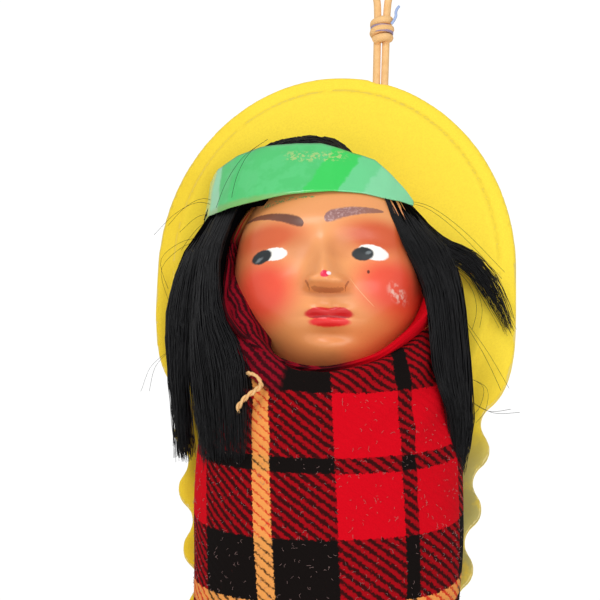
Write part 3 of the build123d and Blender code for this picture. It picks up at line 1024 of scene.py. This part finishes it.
flannel = Finish("plaid_flannel", Roughness=0.95, Specular_IOR_Level=0.08)
uv = flannel.node("ShaderNodeUVMap", {"uv_map": "UVMap"})
speckle = flannel.noise(uv, 0.5, detail=3, out="Color")
fuzz = flannel.node("ShaderNodeVectorMath", {"operation": "SUBTRACT"}, speckle, (0.5, 0.5, 0.5))
fuzzy = flannel.node("ShaderNodeVectorMath", {"operation": "MULTIPLY_ADD"}, fuzz, (1.1, 1.1, 0), uv)
across = flannel.node("ShaderNodeSeparateXYZ", None, fuzzy, out=0)
down = flannel.node("ShaderNodeSeparateXYZ", None, fuzzy, out=1)
warp = stripes(flannel, across - WARP_START)
weft = stripes(flannel, (down - WEFT_START) / WEFT_SHARE)
lint = flannel.noise(uv, 1.1, detail=6, rough=0.75)
collar = flannel.node("ShaderNodeAttribute", {"attribute_name": "mark"}, out="Fac")
warp = flannel.mix(collar, warp, "2a0b11")
weft = flannel.mix(collar, weft, "a80c26")
rib = (across / TWILL_ACROSS - down / TWILL_DOWN).call("FRACT")
turn = ((across - WARP_START) / SETT_LENGTH).call("FRACT") * SETT_LENGTH
bright_warp = (1 - flannel.step(turn, 3.3, 3.5)) * (1 - collar)
turn = ((down - WEFT_START) / WEFT_SHARE / SETT_LENGTH).call("FRACT") * SETT_LENGTH
bright_weft = (1 - flannel.step(turn, 3.3, 3.5)) * (1 - collar)
bias = (lint - 0.5) * 0.6 + bright_warp * 0.14 - bright_weft * 0.1
ribs = flannel.step((rib - 0.5).call("ABSOLUTE") + bias, 0.12, 0.36) * 0.84 + 0.08
woven = flannel.mix(ribs, weft, warp)
unlike = flannel.node("ShaderNodeVectorMath", {"operation": "DISTANCE"}, weft, warp, out="Value")
shade = flannel.step(unlike, 0.2, 0.45) * (1 - bright_warp) * (1 - bright_weft)
woven = flannel.mix(shade * 0.42, woven, "1c0a0c")
woven = flannel.mix(flannel.step(lint, 0.62, 0.82) * 0.35, woven, "7c2a2c")
flannel.set(Base_Color=woven)
flannel.bump((rib * 6.2832).call("COSINE") * 0.5 + lint * 1.6, 0.5, 0.16)
flannel.give(blanket, hood)

# %% [markdown]
# ## Painted face
# The features are painted by hand over a skin-coloured coat: brown brows, white eyes with dark irises
# that look to one side, red lips, and an airbrushed blush on the cheeks and lids. Each is one mask, an
# ellipse or a stroke, with its edge a little uneven.

# %% Paint masks
def disc(finish, x, depth, middle, size, soft, turn=0):
    """1 inside an ellipse and 0 outside; soft is the share of its radius over which it fades."""
    c, s = math.cos(math.radians(turn)), math.sin(math.radians(turn))
    dx, dv = x - middle[0], depth - middle[1]
    a = (dx * c + dv * s) / size[0]
    b = (dv * c - dx * s) / size[1]
    return 1 - finish.step((a * a + b * b).call("SQRT"), 1 - soft, 1 + soft)


def stroke(finish, x, depth, start, end, arch, halves, soft=0.25):
    """A brush stroke from start to end, arched upward, with a half width at each end."""
    t = (x - start[0]) / (end[0] - start[0])
    middle = t * (end[1] - start[1]) + start[1] - t * (1 - t) * 4 * arch
    half = t * (halves[1] - halves[0]) + halves[0]
    round_ends = (1 - (t * 2 - 1).call("ABSOLUTE") ** 7).call("MAXIMUM", 0.0001) ** 0.5
    away = (depth - middle).call("ABSOLUTE") / (half * round_ends)
    inside = finish.step(t, -0.01, 0.01) * (1 - finish.step(t, 0.99, 1.01))
    return (1 - finish.step(away, 1 - soft, 1 + soft)) * inside


# %% [markdown]
# ### Skin and blush
# The skin colour deepens a little towards the jaw and the sides. Over it lie soft airbrushed blush on the
# lids and the cheeks, and painted shade in the sockets, under the nose and in the crease under the lower lip,
# each a wide ellipse with a faded edge.

# %% Painted skin
paint = Finish("painted_face", Coat_Weight=0.25, Coat_Roughness=0.2, Specular_IOR_Level=0.45)
x, y, depth, place = paint.place()
uneven = paint.noise(place, 0.8, detail=2)
ax = x + (uneven - 0.5) * 0.35
ad = depth + (paint.noise(place, 0.6, detail=2) - 0.5) * 0.35
broad = paint.noise(place, 6, detail=4)
skin = paint.mix(paint.step(depth + broad * 6, 44, 62), "f0a062", "ee9a5a")
skin = paint.mix(paint.step((x + 0.7).call("ABSOLUTE"), 11, 18) * 0.5, skin, "dd7c4a")
for middle, size, colour, strength in (
    ((-11.6, 40.0), (6.8, 2.7), "cf4a24", 0.8),
    ((9.0, 39.8), (6.4, 3.0), "cf4620", 0.85),
    # Painted shade in the sockets, outside each eye and beside the bridge of the nose.
    ((-16.2, 43.5), (2.6, 4.6), "cf5f3a", 0.5),
    ((14.5, 43.5), (2.6, 4.6), "cf5f3a", 0.5),
    ((-5.5, 42.6), (2.4, 2.2), "cf7c48", 0.5),
    ((1.9, 42.6), (2.4, 2.2), "cf7c48", 0.5),
    ((-12.2, 50.0), (6.0, 5.6), "ee4532", 0.9),
    ((11.4, 48.8), (6.0, 5.0), "ee4532", 0.9),
    # Painted shade under the nose and in the crease under the lower lip.
    ((-0.3, 51.2), (3.8, 0.55), "b9602f", 0.5),
    ((0.3, 58.2), (3.6, 1.0), "d98448", 0.35),
):
    skin = paint.mix(disc(paint, x, depth, middle, size, 0.55) * strength, skin, colour)
grain = paint.noise(place, 0.35, detail=4)
skin = paint.mix(paint.step(grain, 0.55, 0.8) * 0.12, skin, "b8562f")

# %% [markdown]
# ### Brows, eyes and lips
# The right brow has worn to a greyish purple, so it is lighter and speckled.

# %% Painted features
brown = paint.mix(paint.step(x, -16, -6), "8a5342", "5e3429")
skin = paint.mix(stroke(paint, ax, ad, (-16.4, 34.9), (-4.7, 38.1), 0.5, (0.3, 1.2)) * 0.95, skin, brown)
worn = paint.mix(paint.step(paint.noise(place, 0.45, detail=3), 0.45, 0.7), "8a6468", "b9989b")
worn = paint.mix(paint.step(x, 3, 9), worn, "8f5f52")
skin = paint.mix(stroke(paint, ax, ad, (-1.0, 37.1), (9.6, 34.7), 0.5, (1.45, 0.4)) * 0.9, skin, worn)
for middle, size, turn in (((-10.1, 43.35), (2.5, 1.25), 3), ((7.9, 43.05), (2.75, 1.45), 6)):
    skin = paint.mix(disc(paint, ax, ad, middle, size, 0.09, turn), skin, "fdfbf5")
for middle, size in (((-12.5, 43.5), (1.95, 1.3)), ((6.1, 43.5), (1.95, 1.3))):
    skin = paint.mix(disc(paint, ax, ad, middle, size, 0.12, -8), skin, "22282b")
# Painted highlights: a small grey glint on each iris.
iris_highlights = (((-13.0, 44.0), (0.7, 0.3)), ((7.1, 43.2), (0.5, 0.3)))
for middle, size in iris_highlights:
    skin = paint.mix(disc(paint, ax, ad, middle, size, 0.6, -25) * 0.6, skin, "8d979c")
for middle, size, turn, colour in (
    ((0.3, 55.9), (3.7, 0.95), -1, "ee2a28"),
    ((-1.6, 54.45), (2.6, 0.85), -5, "d51b1b"),
    ((2.1, 54.4), (2.5, 0.85), 4, "d51b1b"),
    ((0.3, 55.15), (3.4, 0.22), -1, "b3181b"),
):
    skin = paint.mix(disc(paint, ax, ad, middle, size, 0.16, turn), skin, colour)
# Painted shade: a brown stroke under the nose and one along each nostril wing.
for start, end, thick, ends, share in (
    ((-2.9, 50.6), (3.0, 50.6), -0.3, (0.24, 0.24), 0.45),
    ((-4.1, 49.3), (-3.2, 50.7), 0.1, (0.22, 0.3), 0.6),
    ((3.9, 49.2), (3.1, 50.7), 0.1, (0.22, 0.3), 0.6),
):
    skin = paint.mix(stroke(paint, ax, ad, start, end, thick, ends) * share, skin, "8a3d22")
skin = paint.mix(disc(paint, ax, ad, (-0.3, 48.9), (0.75, 0.62), 0.2), skin, "e8184a")
# Painted highlight: a small pale spot on the red nose dot.
skin = paint.mix(disc(paint, ax, ad, (0.45, 48.7), (0.36, 0.34), 0.3), skin, "ffe9ec")

# %% [markdown]
# ### Wear on the paint
# Handling has left a thin scratch from the nose to the cheek, a dark fleck, and green from the band on the
# forehead. A pale pink patchy spot also lies on the right cheek.

# %% Scratches and rubs
scratch = stroke(paint, x, depth, (3.9, 48.4), (8.3, 52.9), -0.25, (0.07, 0.07), soft=0.5)
skin = paint.mix(scratch * 0.75, skin, "f8bd86")
patchy = paint.step(paint.noise(place, 0.9, detail=4), 0.42, 0.62)
skin = paint.mix(disc(paint, x, depth, (12.3, 49.9), (1.6, 1.2), 0.6, 50) * patchy * 0.9, skin, "f6cdbd")
skin = paint.mix(disc(paint, x, depth, (7.2, 46.9), (0.25, 0.35), 0.3), skin, "6b2a18")
streaks = paint.step(paint.noise(place, 0.5, detail=3), 0.47, 0.6)
rub = stroke(paint, x, depth, (-13.6, 33.2), (-3.0, 32.4), 0.3, (0.5, 0.25), soft=0.5) * streaks
skin = paint.mix(rub * 0.85, skin, "4fae6d")
paint.set(Base_Color=skin, Roughness=0.34 + paint.noise(place, 1.6) * 0.14)
paint.bump(paint.noise(place, 2.0, detail=3) * 0.6 + grain * 0.12, 0.25, 0.1)
paint.give(face)

# %% [markdown]
# ## Band finish
# The band's gloss comes from a clear coat over mottled green. Painted light and reflections lie over it:
# a bright saturated slanting band, paler slanting bands on the right and a pale left end. It also has a
# chipped arc in the middle and a darker, yellower lower edge.

# %% Band finish
tape = Finish("green_band", Roughness=0.3, Coat_Weight=0.6, Coat_Roughness=0.08)
x, y, depth, place = tape.place()
slant = x + (depth - 26) * 0.5 + tape.noise(place, 2.5) * 2.5
green = tape.mix(tape.step(tape.noise(place, 3.0, detail=4), 0.45, 0.6) * 0.5, "49c96f", "5bd281")
# Painted light and reflections on the tape's facets: a bright saturated band, then paler bands to the right.
for low, colour, share in ((-1.5, "27d254", 0.9), (4.6, "6ed494", 0.85), (9.0, "8bdcaa", 0.7)):
    green = tape.mix(tape.step(slant, low, low + 0.7) * share, green, colour)
# Painted reflection: the pale left end of the tape.
pale = tape.step(tape.noise(place, 3) * 1.6 - x, 22.2, 22.8)
green = tape.mix(pale * 0.75, green, "a9e2bd")
arc = ((depth - 23.6) + (x + 3.4) * (x + 3.4) * 0.012).call("ABSOLUTE")
chips = tape.step(tape.noise(place, 0.8, detail=5, rough=0.7), 0.52, 0.56) * (1 - tape.step(arc, 0.6, 1.6))
chips = chips * (1 - tape.step((x + 3.4).call("ABSOLUTE"), 4, 7))
green = tape.mix(chips * 0.75, green, "b9cf7c")
# The lower edge is darker and yellower.
lower_edge_tint = tape.step(depth + tape.noise(place, 1.2) * 0.8, 31.6, 32.6)
green = tape.mix(lower_edge_tint * 0.45, green, "9aa64e")
tape.set(Base_Color=green)
tape.bump(tape.noise(place, 1.3, detail=3), 0.3, 0.1)
tape.give(band)

# %% [markdown]
# ### Fibres and threads
# Hair, leather, lint and threads are too fine for drawn detail. Each gets two close colours mixed by
# noise, and its own roughness. The cords under the hair are plain black without shine.

# %% Hair, leather and thread finishes
fibre = Finish("black_hair", Roughness=0.4, Specular_IOR_Level=0.22)
x, y, depth, place = fibre.place()
fibre.set(Base_Color=fibre.mix(fibre.noise(place, 0.7), "050506", "17171a"))
fibre.give(left_hair, right_hair, tuft, crown_hair, stray_hair)
under = Finish("hair_shade", Base_Color=linear("050506"), Roughness=0.9, Specular_IOR_Level=0.02)
under.give(*hair_forms)
for name, colours, size, rough, targets in (
    ("lace_leather", ("fccf94", "e2ac68"), 1.2, 0.7, (lace, knot)),
    ("lavender_thread", ("b3a2ba", "8b7794"), 0.4, 0.8, (whipping,)),
    ("pale_lint", ("c9a9a4", "4a2226"), 4.0, 0.9, (lint_fibres,)),
    ("blue_thread", ("b4c8f0", "93abd9"), 0.4, 0.8, (blue_thread,)),
    ("straw_twine", ("f6cf94", "d79a55"), 0.5, 0.85, (stitch,)),
):
    yarn = Finish(name, Roughness=rough)
    x, y, depth, place = yarn.place()
    spots = yarn.noise(place, size, detail=4)
    yarn.set(Base_Color=yarn.mix(spots, *colours))
    yarn.bump(spots, 0.4, 0.15)
    yarn.give(*targets)

# %% [markdown]
# ## The part that stays as it is
# The stiff core is shut between the two panels. It keeps the frame's own form and gets a plain card
# finish. The stuffing has no piece of its own here, because the cloth over it stands for it.

# %% Board core
card = Finish("grey_card", Roughness=0.9)
x, y, depth, place = card.place()
card.set(Base_Color=card.mix(card.noise(place, 2), "a79f92", "8c8478"))
card.give(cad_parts["board_core"])

# %% [markdown]
# ## Floor and light
# A pale floor, which glows faintly so that it stays near white, lies well below. The light is a bright
# even room with two soft lamps in front: one above on the left, and a larger one low on the right.

# %% Floor, lamps and world
bpy.ops.mesh.primitive_plane_add(size=6, location=(0, 0, -0.32))
floor = bpy.context.object
floor.name = "floor"
pale_floor = Finish("pale_floor", Base_Color=linear("f6f5f3"), Roughness=0.8,
                    Emission_Color=linear("ffffff"), Emission_Strength=0.22)
pale_floor.give(floor)


def lamp(name, place, size, power, aim=LOOK_AT):
    """A square area lamp that faces the doll."""
    bpy.ops.object.light_add(type="AREA", location=place)
    light = bpy.context.object
    light.name = name
    light.data.size = size
    light.data.energy = power
    light.rotation_euler = (Vector(aim) - Vector(place)).to_track_quat("-Z", "Y").to_euler()
    return light


lamps = [
    lamp("key_lamp", (-0.3, -0.8, 0.4), 0.4, 3.2),
    lamp("fill_lamp", (0.35, -0.75, -0.3), 0.6, 3.6),
]
world = bpy.data.worlds.new("room")
bpy.context.scene.world = world
world.use_nodes = True
background = world.node_tree.nodes["Background"]
background.inputs["Color"].default_value = (1, 1, 1, 1)
seen = world.node_tree.nodes.new("ShaderNodeLightPath")
strength = world.node_tree.nodes.new("ShaderNodeMapRange")
strength.inputs["To Min"].default_value = 0.5
strength.inputs["To Max"].default_value = 1.05
world.node_tree.links.new(seen.outputs["Is Camera Ray"], strength.inputs["Value"])
world.node_tree.links.new(strength.outputs["Result"], background.inputs["Strength"])
bpy.context.scene.view_settings.view_transform = "Standard"
